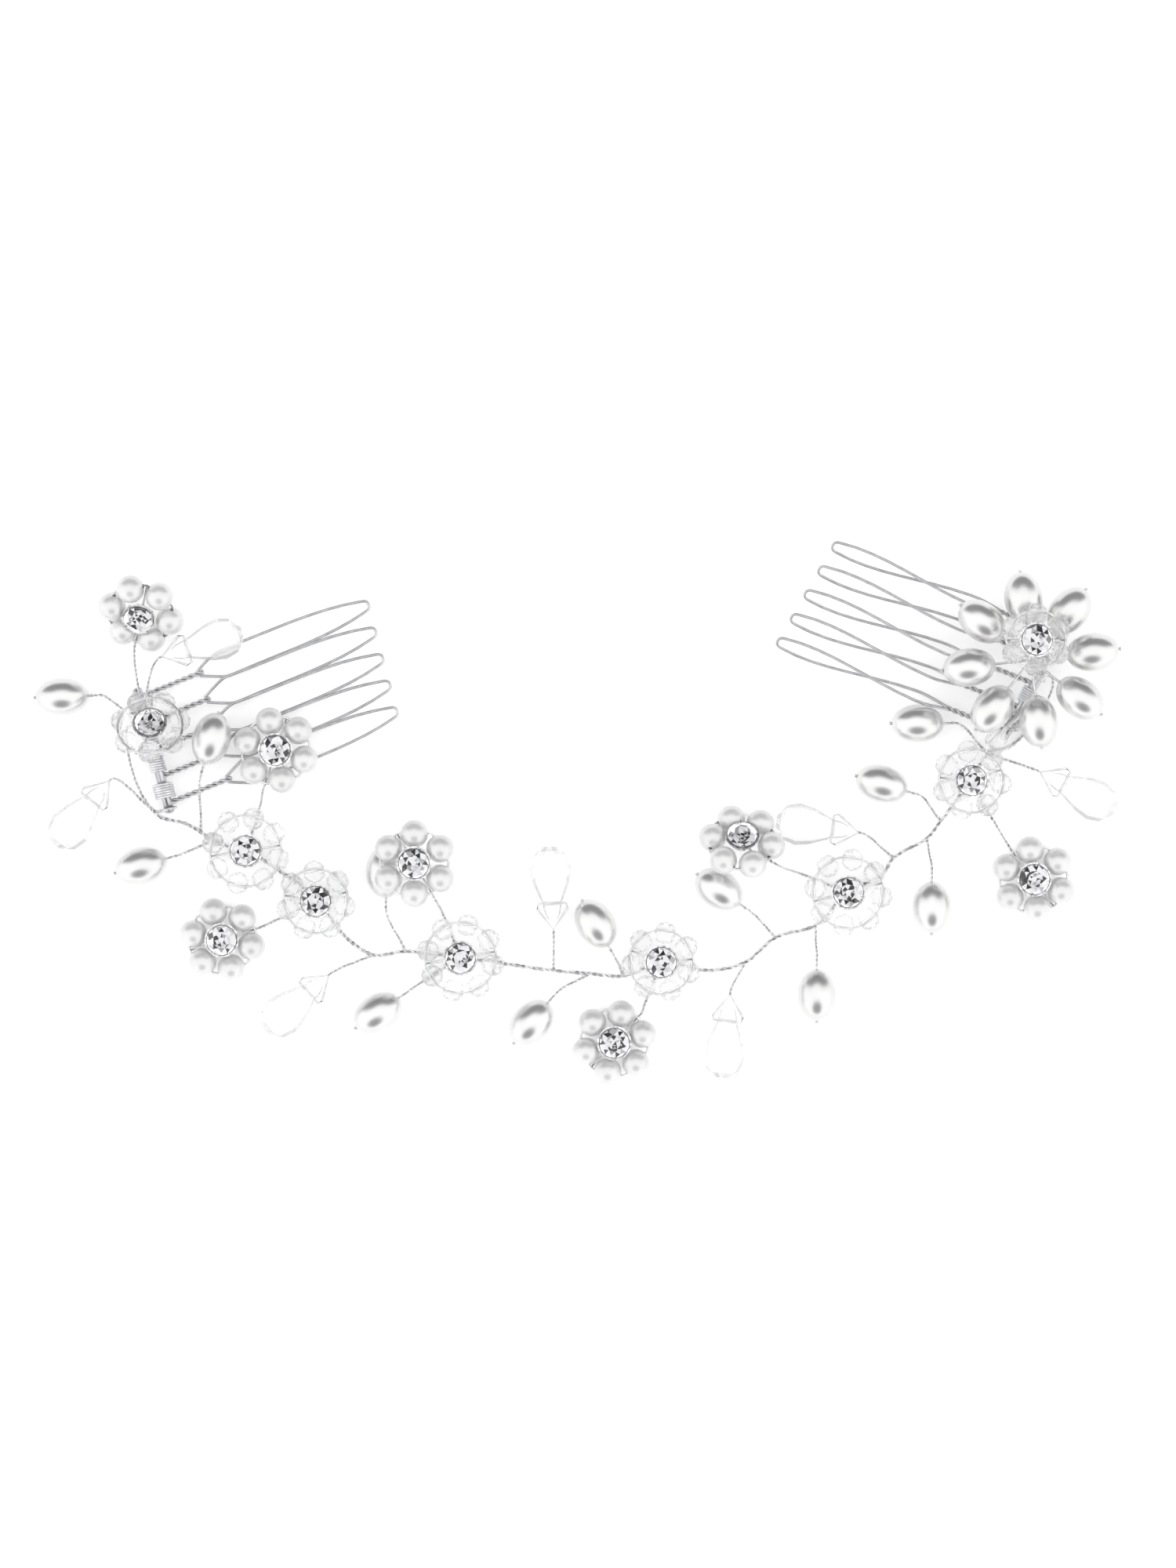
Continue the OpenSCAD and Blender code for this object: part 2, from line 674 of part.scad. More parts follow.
centred() vine_wire();
centred() comb(0);  // comb_left
centred() comb(1);  // comb_right
centred() bar_wrap(0);  // bar_wrap_left
centred() bar_wrap(1);  // bar_wrap_right
for (i = [0:len(ovals) - 1])
    centred() oval_pearl(i);
for (i = [0:len(pearl_flowers) - 1])
    centred() pearl_flower(i);
for (i = [0:len(crystal_flowers) - 1])
    centred() crystal_flower(i);
centred() bar_flower_crystals();
centred() large_flower_petals();
centred() top_flower_crystals();
centred() end_crystals();
for (i = [0:len(drops) - 1])
    centred() glass_drop(i);
centred() stone_cups();
for (i = [0:len(pearl_flowers) - 1])
    centred() pearl_flower_stone(i);
for (i = [0:len(crystal_flowers) - 1])
    centred() crystal_flower_stone(i);
centred() bar_flower_stone();
centred() top_flower_stone();
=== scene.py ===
"""Looks of the hair vine: smooth pearls, cut crystals and stones, twisted silver wire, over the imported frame.

Lengths in this script are in millimetres, as in the part's source, and become metres when a mesh is built.
The vine lies on z = 0 with its combs towards +y.
"""
import math
import random

import bpy
from mathutils import Matrix, Vector


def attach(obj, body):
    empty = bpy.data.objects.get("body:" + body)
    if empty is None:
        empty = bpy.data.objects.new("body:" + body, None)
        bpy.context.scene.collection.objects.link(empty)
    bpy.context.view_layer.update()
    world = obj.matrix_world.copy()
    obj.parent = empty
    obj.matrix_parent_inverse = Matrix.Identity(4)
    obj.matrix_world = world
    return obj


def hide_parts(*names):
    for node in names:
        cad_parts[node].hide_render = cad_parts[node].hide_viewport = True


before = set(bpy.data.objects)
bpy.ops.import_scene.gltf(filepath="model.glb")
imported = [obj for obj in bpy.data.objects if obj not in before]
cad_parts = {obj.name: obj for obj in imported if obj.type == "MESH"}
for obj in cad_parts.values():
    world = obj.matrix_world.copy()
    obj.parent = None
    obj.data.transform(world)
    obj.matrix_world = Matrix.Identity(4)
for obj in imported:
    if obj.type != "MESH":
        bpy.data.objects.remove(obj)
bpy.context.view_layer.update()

MM = 0.001
TURN = 2 * math.pi
UP = Vector((0, 0, 1))
SIDE = Vector((1, 0, 0))

# Sizes of the beads
OVAL_LEN, OVAL_D = 8.7, 6.3
PEARL_D = 4.6
CRYSTAL_D = 3.9
BEAD_GAP = 0.3
DROP_T, DROP_W = 4.6, 7.0
FORK_LEN, FORK_SHARE = 4.4, 0.36
FORK_BEND, FORK_CORNER = 0.8, 0.2
HOLE_D = 0.7
STONE_D = 4.9
CUP_H = 1.9

# Sizes of the wires
MAIN_D, SPRIG_D, THREAD_D = 0.7, 0.5, 0.4
CLEARANCE = 0.15
MAIN_TWIST, SPRIG_TWIST, TOOTH_TWIST = 2.0, 1.6, 2.4
COIL_WIRE = 0.45

# Straight last part of a wire before what it enters, and its level first part
OVAL_REACH, PEARL_REACH, DROP_REACH, BAR_FLOWER_REACH = 2, 1, 0.6, 0.8
BARE_RUN, BAR_FLOWER_RUN = 1.2, 1.4

# How far the thread across a ring hangs below it, and over what length it goes down
PEARL_SAG, CRYSTAL_SAG = 1.2, 1.35
SAG_RUN = 0.5

# How far a twisted sprig stops before an oval pearl, and where the plain wire through it starts
SPRIG_STOP, PIN_START = 0.3, 0.5

# Small head at the end of a wire, beyond its bead: distance, profile
HEAD_GAP = 0.15
HEAD = [(-0.03, 0.1), (0, 0.36), (0.08, 0.38), (0.16, 0.26), (0.2, 0.1)]

# Sizes of the combs
PITCH = 4.55
TEETH = 5
TOOTH_D, STEM_D = 0.5, 0.95
STEM_LEN, TOOTH_LEN = 11.4, 41.2
BAR_D, WRAP_D, COIL_D = 1.6, 2.8, 3.6

# Where the legs of a tooth part, as distance from the end of its stem and share of the whole offset; their
# last bends, as distance from the tip and share; and how much further each tooth's twist is turned than the
# one before, in turns
LEG_SPREAD = [(-0.8, 0.2), (1.7, 0.72), (3.4, 1), (5.4, 1)]
LEG_TIP = [(1.1, 1), (0.45, 0.7)]
TOOTH_PHASE = 0.17

# Rounded end of a bar: distance from its end, radius
BAR_DOME = [(0, BAR_D / 2), (0.2, 0.36 * BAR_D), (0.35, 0.2)]

# Radius of a vine loop round a bar, and distance of the wire beside the bar that clears its coils
LOOP_R = BAR_D / 2 + CLEARANCE + SPRIG_D / 2
BESIDE = COIL_D / 2 + CLEARANCE + SPRIG_D / 2

# Fineness of the meshes: sides of the wires, points to a turn or a span, lengths between points of a bent
# wire, steps and sides of a pearl, and the angle up to which neighbouring faces shade as one
WIRE_SIDES, THREAD_SIDES, TOOTH_SIDES, HEAD_SIDES, BAR_SIDES = 8, 6, 10, 12, 24
TWIST_POINTS, LOOP_POINTS, COIL_POINTS, BEND_POINTS, CORNER_POINTS = 10, 24, 24, 8, 4
THREAD_STEP, END_WIRE_STEP, TOOTH_STEP = 0.4, 0.3, 0.5
OVAL_FINENESS, ROUND_FINENESS = (22, 40), (18, 32)
PEARL_SMOOTH, WIRE_SMOOTH = 35, 50

# A direction this close to upright needs another cross direction, and points this close are one
NEARLY_UPRIGHT = 0.1
TINY = 1e-6

# Middle of the whole part before it is centred on the origin
MIDDLE = Vector((0.56, 0, 0))

# The main wire, flat on the table from the left comb to the right one
ROUTE = [
    (-68.4, -0.5), (-66.6, -1.1), (-64.2, -1.6), (-61.6, -3.0), (-59.7, -4.5), (-54.0, -6.1),
    (-48.6, -9.4), (-42.4, -14.4), (-38.1, -19.9), (-33.0, -23.4), (-27.6, -22.8),
    (-18.5, -23.8), (-10.4, -25.0), (-3.1, -26.0), (3.0, -26.5), (8.5, -26.9),
    (14.7, -24.5), (22.5, -26.0), (28.7, -24.6), (33.7, -20.5), (40.3, -18.5),
    (45.6, -13.0), (51.4, -10.0), (53.3, -7.3), (58.8, -4.0), (61.1, -1.2),
    (66.0, 5.5), (69.0, 9.9), (72.6, 11.2), (74.8, 13.2),
]
LOW_Z = MAIN_D / 2

# Room kept beside the last tooth; distance from that tooth to a vine loop beyond it, and to the bar's end
LOOP_SPARE = 0.05
BEYOND = STEM_D / 2 + CLEARANCE + SPRIG_D / 2 + LOOP_SPARE
BAR_END = BEYOND + SPRIG_D / 2 + CLEARANCE

# Combs: middle of the bar, heading square to the bar, rise of the teeth, roll, lean of the teeth, the two
# vine loops on the bar (from its middle), offset of a tooth's upper leg at the shoulder, and at the tip
LEFT, RIGHT = 0, 1
COMBS = [
    dict(middle=(-69.3, 10.5, 1.9), heading=15, rise=0, roll=0, lean=7,
         loops=(1.5 * PITCH, -2 * PITCH - BEYOND), shoulder=(2.2, 0.8), tip=(0.9, 0.05)),
    dict(middle=(76.4, 21.5, 2.75), heading=150.7, rise=5, roll=-6, lean=8,
         loops=(-0.5 * PITCH, 1.5 * PITCH), shoulder=(0.6, 2.0), tip=(-0.85, 0.3)),
]

# Where a sprig starts that doesn't start at a station of the main wire: beside the left comb's upper or lower
# loop, or on top of the upper one
UPPER_SIDE, LOWER_SIDE, UPPER_TOP = -1, -2, -3

# Oval pearls: station that the sprig leaves from, x, y and extra height where the wire enters, heading
OVALS = [
    (UPPER_SIDE, -80.0, 19.5, 0, 182), (4, -67.1, -7.4, 0, 196), (3, -60.6, 8.2, 3.3, 74),
    (11, -28.6, -30.4, 0, 215), (14, -4.0, -31.2, 0, 230), (15, 6.0, -21.9, 0, 120),
    (19, 27.8, -15.0, 0, 145), (20, 40.4, -25.6, 0, 270), (25, 55.3, 3.7, 0, 163),
    (24, 59.4, -11.1, 0, 270), (27, 61.4, 14.95, 0, 180), (10, -30.8, -14.0, 0, 92),
]

# Pearl flowers: station, x, y and extra height of the ring corner where the sprig arrives, heading, rise,
# roll
PEARL_FLOWERS = [
    (UPPER_TOP, -72.2, 28.5, 0, 76, 35, 0), (5, -50.6, 5.1, 3.2, 72, 0, 0), (7, -52.5, -19.1, 0, 198, 0, 0),
    (11, -23.1, -13.0, 6.6, 120, 0, 0), (16, 10.8, -33.7, 0, 227, 0, 0),
    (21, 32.3, -7.5, 5.5, 146, -22, 30), (26, 72.9, -6.3, 0, 307, 0, 0),
]
PEARLS = 6

# Crystal flowers on the main wire: station, turn of the ring, beads
CRYSTAL_FLOWERS = [(5, 9, 8), (7, 16, 7), (11, 10, 8), (16, 5, 7), (21, 15, 8), (26, 20, 7)]
CRYSTAL_Z = LOW_Z + MAIN_D / 2 + CLEARANCE + CRYSTAL_D / 2

# Crystal flower over the left comb's bar: ring corner, heading, rise, beads
BAR_FLOWER = ((-69.3, 19.1, 6.1), 270, 30, 7)

# Large flower: middle, petals and their ring; and the small ring of crystals on top of it
LARGE = (75.2, 25.3)
PETALS, PETAL_RING, PETAL_Z, PETAL_TURN = 8, 10.2, 10.4, 7
TOP_FLOWER = (75.6, 28.4)
TOP_BEADS = 6
TOP_Z = PETAL_Z + OVAL_D / 2 + CLEARANCE + CRYSTAL_D / 2

# Glass drops: station, x, y and extra height where the fork starts, heading
DROPS = [
    (LOWER_SIDE, -76.6, 5.4, 0, 230), (9, -40.3, -26.7, 0, 221), (18, 26.1, -29.9, 0, 264),
    (23, 47.4, -3.1, 0, 172), (27, 77.4, 6.9, 0, 333), (13, -3.1, -19.2, 0, 93),
    (UPPER_TOP, -67.6, 25.9, 3.2, 17),
]

# Clear beads over the right bar's end: first one, heading, and the step from one to the next
END_BEADS = (Vector((69.8, 12.3, 6.75)), 47)
END_STEP = CRYSTAL_D + BEAD_GAP
# Their wire: how far it is straight, in steps behind the first bead and beyond it; how far beyond and below
# that it bends; where it turns down, and the station of the main wire that it goes to
END_BEHIND, END_BEYOND = 0.6, 1.7
END_BEND, END_DROP = 0.6, 1.2
END_TURN = Vector((70, 10.3, 5.3))
END_STATION = 28

# Heights at which the thread under a cup crosses a flower, over the plane of the ring; height of the cup
# over the thread, and of the stone's girdle over the cup's foot
PEARL_HUB, CRYSTAL_HUB, TOP_HUB = -0.4, -1.15, -0.15
CUP_GAP = THREAD_D / 2 + CLEARANCE
SEAT_Z = CUP_H + 0.2

# Rows of corners on a clear bead, as angles from its hole's start, and how many corners a row has
BEAD_BELTS = (30, 57, 90, 123, 150)
BEAD_SIDES = 9

# Levels of a centre stone, from its point to its table: radius and height as shares of the stone's radius,
# corners for each facet round it, and turn in parts of a corner
STONE_FACETS = 8
STONE_LEVELS = [
    (0.2, -0.42, 1, 0), (0.45, -0.32, 1, 0.5), (0.72, -0.19, 1, 0), (1, -0.06, 2, 0),
    (1, 0.04, 2, 0), (0.83, 0.2, 1, 0.5), (0.56, 0.34, 1, 0),
]
GLASS_MARK, FOIL_MARK = 0, 1

# Chance: how far each clear bead and each stone may be turned, and what each kind of piece draws from
BEAD_TURN, STONE_TURN = 360 / BEAD_SIDES, 9
BEAD_SEED, STONE_SEED, TWIST_SEED = 11, 5, 3

# Camera over the vine: how much of the table it shows from top to bottom, its height over it, the middle of
# its view, the size of its sensor, and the nearest and furthest that it sees, in metres
VIEW_H = 260.0
CAMERA_Z = 900.0
VIEW_MIDDLE = (2.04, 4.94)
SENSOR = 36.0
NEAR, FAR = 0.01, 20


# Frames, in the source's own coordinates

def rad(angle):
    return math.radians(angle)


def ahead(angle):
    return Vector((math.cos(rad(angle)), math.sin(rad(angle)), 0))


def shift(x, y, z):
    return Matrix.Translation(Vector((x, y, z)))


def spin(angle, axis):
    return Matrix.Rotation(rad(angle), 4, axis)


def ring_of(count, size):
    """Radius of a ring of count beads."""
    return (size + BEAD_GAP) / 2 / math.sin(math.pi / count)


def station(i):
    return Vector((*ROUTE[i], LOW_Z))


def comb_frame(c):
    comb = COMBS[c]
    return (shift(*comb["middle"]) @ spin(comb["heading"], "Z") @ spin(-comb["rise"], "Y")
            @ spin(comb["roll"], "X"))


def pearl_frame(i):
    _, x, y, lift, heading, rise, roll = PEARL_FLOWERS[i]
    corner = ring_of(PEARLS, PEARL_D) / math.cos(math.pi / PEARLS)
    return (shift(x, y, PEARL_D / 2 + lift) @ spin(heading, "Z") @ spin(-rise, "Y") @ spin(roll, "X")
            @ shift(corner, 0, 0) @ spin(180, "Z"))


def crystal_frame(i):
    at, turn, _ = CRYSTAL_FLOWERS[i]
    return shift(*ROUTE[at], CRYSTAL_Z) @ spin(turn, "Z")


def bar_flower_frame():
    place, heading, rise, count = BAR_FLOWER
    corner = ring_of(count, CRYSTAL_D) / math.cos(math.pi / count)
    return shift(*place) @ spin(heading, "Z") @ spin(-rise, "Y") @ shift(corner, 0, 0) @ spin(180, "Z")


def top_frame():
    return shift(*TOP_FLOWER, TOP_Z)


def petal_frame(i):
    return shift(*LARGE, PETAL_Z) @ spin(360 * i / PETALS + PETAL_TURN, "Z") @ shift(PETAL_RING, 0, 0)


def oval_frame(i):
    _, x, y, lift, heading = OVALS[i]
    return shift(x, y, OVAL_D / 2 + lift) @ spin(heading, "Z") @ shift(OVAL_LEN / 2, 0, 0)


def drop_frame(i):
    _, x, y, lift, heading = DROPS[i]
    return shift(x, y, DROP_T / 2 + lift) @ spin(heading, "Z")


def bead_frames(place, count, size):
    """Frames of the beads of a ring, each with its hole along y."""
    radius = ring_of(count, size)
    return [place @ spin(360 * (i + 0.5) / count, "Z") @ shift(radius, 0, 0) for i in range(count)]


# Meshes

class Shape:
    """Corners and faces that are gathered in millimetres and built as one mesh in metres.

    A mark says which of the mesh's materials some faces have.
    """

    def __init__(self):
        self.corners = []
        self.faces = []
        self.marks = []

    def add(self, corners, faces, place=None, mark=0):
        first = len(self.corners)
        for corner in corners:
            point = Vector(corner)
            self.corners.append(place @ point if place else point)
        self.faces += [tuple(first + k for k in face) for face in faces]
        self.marks += [mark] * len(faces)

    def build(self, name, materials, smooth_under=None):
        mesh = bpy.data.meshes.new(name)
        mesh.from_pydata([tuple((c - MIDDLE) * MM) for c in self.corners], [], self.faces)
        for material in materials:
            mesh.materials.append(material)
        for face, mark in zip(mesh.polygons, self.marks):
            face.material_index = mark
        mesh.validate()
        if smooth_under:
            mesh.shade_smooth()
            mesh.set_sharp_from_angle(angle=rad(smooth_under))
        piece = bpy.data.objects.new(name, mesh)
        bpy.context.scene.collection.objects.link(piece)
        return piece


def rings_to_faces(rings, sides, closed):
    """Faces between rings of corners, each with the same number of sides."""
    faces = []
    for i in range(rings if closed else rings - 1):
        low, high = i * sides, (i + 1) % rings * sides
        for j in range(sides):
            k = (j + 1) % sides
            faces.append((low + j, low + k, high + k, high + j))
    if not closed:
        last = (rings - 1) * sides
        faces.append(tuple(range(sides - 1, -1, -1)))
        faces.append(tuple(last + j for j in range(sides)))
    return faces


def tangents(points, closed):
    """Direction of a line at each of its points."""
    n = len(points)
    found = []
    for i in range(n):
        before = points[i - 1] if closed else points[max(i - 1, 0)]
        after = points[(i + 1) % n] if closed else points[min(i + 1, n - 1)]
        found.append((after - before).normalized())
    return found


def frames_along(points, closed=False):
    """A pair of cross directions at each point, turned as little as possible from one point to the next."""
    along = tangents(points, closed)
    across = along[0].cross(UP)
    if across.length < NEARLY_UPRIGHT:
        across = along[0].cross(SIDE)
    across.normalize()
    pairs = []
    for t in along:
        across = (across - t * across.dot(t)).normalized()
        pairs.append((across.copy(), t.cross(across)))
    return pairs


def tube(shape, points, size, sides=WIRE_SIDES, closed=False):
    """A round wire through points."""
    corners = []
    for point, (a, b) in zip(points, frames_along(points, closed)):
        for j in range(sides):
            turn = TURN * j / sides
            corners.append(point + size / 2 * (math.cos(turn) * a + math.sin(turn) * b))
    shape.add(corners, rings_to_faces(len(points), sides, closed))


def smooth_line(points, step):
    """Points every step along a line whose corners are rounded."""
    if len(points) < 3:
        dense = [points[0], points[-1]]
    else:
        dense = []
        for i in range(len(points) - 1):
            p0 = points[max(i - 1, 0)]
            p1, p2 = points[i], points[i + 1]
            p3 = points[min(i + 2, len(points) - 1)]
            m1, m2 = bend_at(p0, p1, p2), bend_at(p1, p2, p3)
            length = (p2 - p1).length
            for k in range(BEND_POINTS):
                dense.append(hermite(p1, m1 * length, p2, m2 * length, k / BEND_POINTS))
        dense.append(points[-1])
    return resample(dense, step)


def bend_at(before, point, after):
    """Direction of a rounded line at a point, from its neighbours."""
    a, b = point - before, after - point
    if a.length < TINY:
        return b.normalized()
    if b.length < TINY:
        return a.normalized()
    return (a.normalized() + b.normalized()) / 2


def hermite(p, m, q, n, t):
    """Point at share t of a curve from p to q that starts along m and ends along n."""
    return (p * (2 * t ** 3 - 3 * t ** 2 + 1) + m * (t ** 3 - 2 * t ** 2 + t)
            + q * (3 * t ** 2 - 2 * t ** 3) + n * (t ** 3 - t ** 2))


def resample(points, step):
    """The same line with points an even distance apart."""
    lengths = [0.0]
    for a, b in zip(points, points[1:]):
        lengths.append(lengths[-1] + (b - a).length)
    count = max(2, round(lengths[-1] / step) + 1)
    found, k = [], 0
    for i in range(count):
        want = lengths[-1] * i / (count - 1)
        while k < len(points) - 2 and lengths[k + 1] < want:
            k += 1
        span = lengths[k + 1] - lengths[k]
        found.append(points[k].lerp(points[k + 1], (want - lengths[k]) / span if span else 0))
    return found


def above_table(points, height):
    """The same points, none of them lower than height."""
    return [Vector((p.x, p.y, max(p.z, height))) for p in points]


def twisted(shape, points, size, pitch, phase=0.0, sides=THREAD_SIDES):
    """Two strands of wire twisted round each other along a line."""
    line = above_table(smooth_line(points, pitch / TWIST_POINTS), size / 2)
    pairs = frames_along(line)
    run = (line[1] - line[0]).length
    for strand in (0, 0.5):
        centres = []
        for i, (point, (a, b)) in enumerate(zip(line, pairs)):
            turn = TURN * (run * i / pitch + strand + phase)
            centres.append(point + size / 4 * (math.cos(turn) * a + math.sin(turn) * b))
        tube(shape, centres, size / 2, sides)


def lathe(shape, profile, sides, place, closed=True):
    """A solid turned round its own x axis: profile holds (along, radius). A closed one has a hole."""
    corners = [
        (along, radius * math.cos(TURN * j / sides), radius * math.sin(TURN * j / sides))
        for along, radius in profile for j in range(sides)
    ]
    shape.add(corners, rings_to_faces(len(profile), sides, closed), place)


def drilled_oval(shape, long, wide, place, fineness):
    """An oval pearl with its hole along x. A round one has the same length and width."""
    steps, sides = fineness
    start = math.asin(HOLE_D / wide)
    profile = []
    for i in range(steps + 1):
        t = start + (math.pi - 2 * start) * i / steps
        profile.append((-long / 2 * math.cos(t), wide / 2 * math.sin(t)))
    lathe(shape, profile, sides, place)


def facet_row(radius, along, turn):
    """Corners of one row of a clear bead round the y axis, turned by parts of a corner."""
    angles = [TURN * (j + turn) / BEAD_SIDES for j in range(BEAD_SIDES)]
    return [(radius * math.cos(angle), along, radius * math.sin(angle)) for angle in angles]


def cut_bead(shape, place):
    """A clear bead with rows of facets that meet in points, its hole along y."""
    radius = CRYSTAL_D / 2
    rows = len(BEAD_BELTS)
    corners = []
    for row, belt in enumerate(BEAD_BELTS):
        corners += facet_row(radius * math.sin(rad(belt)), -radius * math.cos(rad(belt)), row / 2)
    for row in (0, rows - 1):
        corners += facet_row(HOLE_D / 2, -radius * math.cos(rad(BEAD_BELTS[row])), row / 2)
    faces = []
    for row in range(rows - 1):
        low, high = row * BEAD_SIDES, (row + 1) * BEAD_SIDES
        for j in range(BEAD_SIDES):
            k = (j + 1) % BEAD_SIDES
            faces.append((low + j, high + j, low + k))
            faces.append((low + k, high + j, high + k))
    last, near, far = ((rows + i) * BEAD_SIDES for i in (-1, 0, 1))
    for j in range(BEAD_SIDES):
        k = (j + 1) % BEAD_SIDES
        faces.append((j, k, near + k, near + j))
        faces.append((last + k, last + j, far + j, far + k))
        faces.append((near + j, near + k, far + k, far + j))
    shape.add(corners, faces, place)


def pavilion_faces(culet, inner, lower, below):
    """Facets under a stone's girdle, from the first corner of each of its levels."""
    faces = []
    for j in range(STONE_FACETS):
        k = (j + 1) % STONE_FACETS
        faces.append((culet + j, inner + j, culet + k))
        faces.append((culet + k, inner + j, inner + k))
        faces.append((inner + j, lower + j, lower + k))
        faces.append((inner + j, lower + k, inner + k))
        faces.append((lower + j, below + 2 * j, below + 2 * j + 1))
        faces.append((lower + j, below + 2 * j + 1, lower + k))
        faces.append((lower + k, below + 2 * j + 1, below + 2 * k))
    faces.append(tuple(culet + j for j in range(STONE_FACETS - 1, -1, -1)))
    return faces


def crown_faces(below, above, kites, table):
    """Facets over a stone's girdle and round it, from the first corner of each of its levels."""
    faces = []
    for j in range(STONE_FACETS):
        k = (j + 1) % STONE_FACETS
        faces.append((above + 2 * j, kites + j, above + 2 * j + 1))
        faces.append((above + 2 * j + 1, kites + j, above + 2 * k))
        faces.append((above + 2 * k, kites + j, table + k, kites + k))
        faces.append((kites + j, table + j, table + k))
    for j in range(2 * STONE_FACETS):
        k = (j + 1) % (2 * STONE_FACETS)
        faces.append((below + j, below + k, above + k, above + j))
    faces.append(tuple(table + j for j in range(STONE_FACETS)))
    return faces


def brilliant(shape, place):
    """A round cut stone: clear crown, foil-backed pavilion, girdle at z = 0."""
    r = STONE_D / 2
    corners, starts = [], []
    for radius, height, share, turn in STONE_LEVELS:
        starts.append(len(corners))
        count = share * STONE_FACETS
        for j in range(count):
            angle = TURN * (j + turn) / count
            corners.append((r * radius * math.cos(angle), r * radius * math.sin(angle), r * height))
    shape.add(corners, pavilion_faces(*starts[:4]), place, FOIL_MARK)
    shape.add(corners, crown_faces(*starts[3:]), place, GLASS_MARK)


# Materials

# Soft mottle: where its edge starts and ends, and how fine it is on each kind of surface. On the cups it is
# painted reflections: small dark and bright specks in the silver
MOTTLE_EDGES = (0.35, 0.65)
PEARL_MOTTLE, METAL_MOTTLE, CUP_PAINTED_SPECKS, GLASS_MOTTLE, FLOOR_MOTTLE = 260, 900, 1600, 400, 6
COAT, COAT_ROUGHNESS = 0.4, 0.12

# Foil behind the stones, with painted reflections: each facet is painted black, grey or bright at random, as if
# it mirrored dark or light surroundings. Share of the facets from which each painted tone starts, and the tone
FOIL_PAINTED_REFLECTIONS = [(0.0, 0.01), (0.23, 0.96), (0.44, 0.45), (0.54, 1.0), (0.81, 0.03), (0.88, 0.75)]
# Slight blue in the painted reflections, and the seed that picks which facets are painted dark or bright
FOIL_BLUE = 1.02
FOIL_CHANCE = 3.0
FOIL_METALLIC, FOIL_ROUGHNESS, FOIL_SPECULAR = 0.15, 0.4, 0.3


def new_material(name):
    material = bpy.data.materials.new(name)
    material.use_nodes = True
    nodes = material.node_tree.nodes
    return material, nodes, material.node_tree.links, nodes["Principled BSDF"]


def mottle(material, low, high, scale):
    """A soft mottle between two colours."""
    nodes, links = material.node_tree.nodes, material.node_tree.links
    shader = nodes["Principled BSDF"]
    where = nodes.new("ShaderNodeTexCoord")
    noise = nodes.new("ShaderNodeTexNoise")
    noise.inputs["Scale"].default_value = scale
    ramp = nodes.new("ShaderNodeValToRGB")
    for element, position, colour in zip(ramp.color_ramp.elements, MOTTLE_EDGES, (low, high)):
        element.position = position
        element.color = (*colour, 1)
    links.new(where.outputs["Object"], noise.inputs["Vector"])
    links.new(noise.outputs["Fac"], ramp.inputs["Fac"])
    links.new(ramp.outputs["Color"], shader.inputs["Base Color"])


def pearl_material(name, low, high, metallic, roughness):
    """Pearl lustre: a pale body under a partly mirroring nacre and a clear coat."""
    material, _, _, shader = new_material(name)
    mottle(material, low, high, PEARL_MOTTLE)
    shader.inputs["Metallic"].default_value = metallic
    shader.inputs["Roughness"].default_value = roughness
    shader.inputs["Coat Weight"].default_value = COAT
    shader.inputs["Coat Roughness"].default_value = COAT_ROUGHNESS
    return material


def metal_material(name, low, high, roughness, scale=METAL_MOTTLE):
    """Plated wire or metal."""
    material, _, _, shader = new_material(name)
    mottle(material, low, high, scale)
    shader.inputs["Metallic"].default_value = 1.0
    shader.inputs["Roughness"].default_value = roughness
    return material


def glass_material(name, low, high, roughness, bend, body):
    """Clear glass, partly see-through without bending light, as thin clear beads are on white."""
    material, _, _, shader = new_material(name)
    mottle(material, low, high, GLASS_MOTTLE)
    shader.inputs["Roughness"].default_value = roughness
    shader.inputs["Transmission Weight"].default_value = 1.0
    shader.inputs["IOR"].default_value = bend
    shader.inputs["Alpha"].default_value = body
    return material


def painted_reflection_foil_material(name):
    """Foil behind a stone, with painted reflections: each facet has its own tone, from black to bright, painted
    at random as if it mirrored dark or light surroundings.
    """
    material, nodes, links, shader = new_material(name)
    facet = nodes.new("ShaderNodeNewGeometry")
    # Painted reflections: a black, grey or bright tone for each facet
    tones = nodes.new("ShaderNodeValToRGB")
    tones.color_ramp.interpolation = "CONSTANT"
    elements = tones.color_ramp.elements
    while len(elements) < len(FOIL_PAINTED_REFLECTIONS):
        elements.new(1.0)
    for element, (position, tone) in zip(elements, FOIL_PAINTED_REFLECTIONS):
        element.position = position
        element.color = (tone, tone, tone * FOIL_BLUE, 1)
    chance = nodes.new("ShaderNodeTexWhiteNoise")
    chance.noise_dimensions = "4D"
    chance.inputs["W"].default_value = FOIL_CHANCE
    links.new(facet.outputs["True Normal"], chance.inputs["Vector"])
    links.new(chance.outputs["Value"], tones.inputs["Fac"])
    links.new(tones.outputs["Color"], shader.inputs["Base Color"])
    shader.inputs["Metallic"].default_value = FOIL_METALLIC
    shader.inputs["Roughness"].default_value = FOIL_ROUGHNESS
    shader.inputs["Specular IOR Level"].default_value = FOIL_SPECULAR
    return material


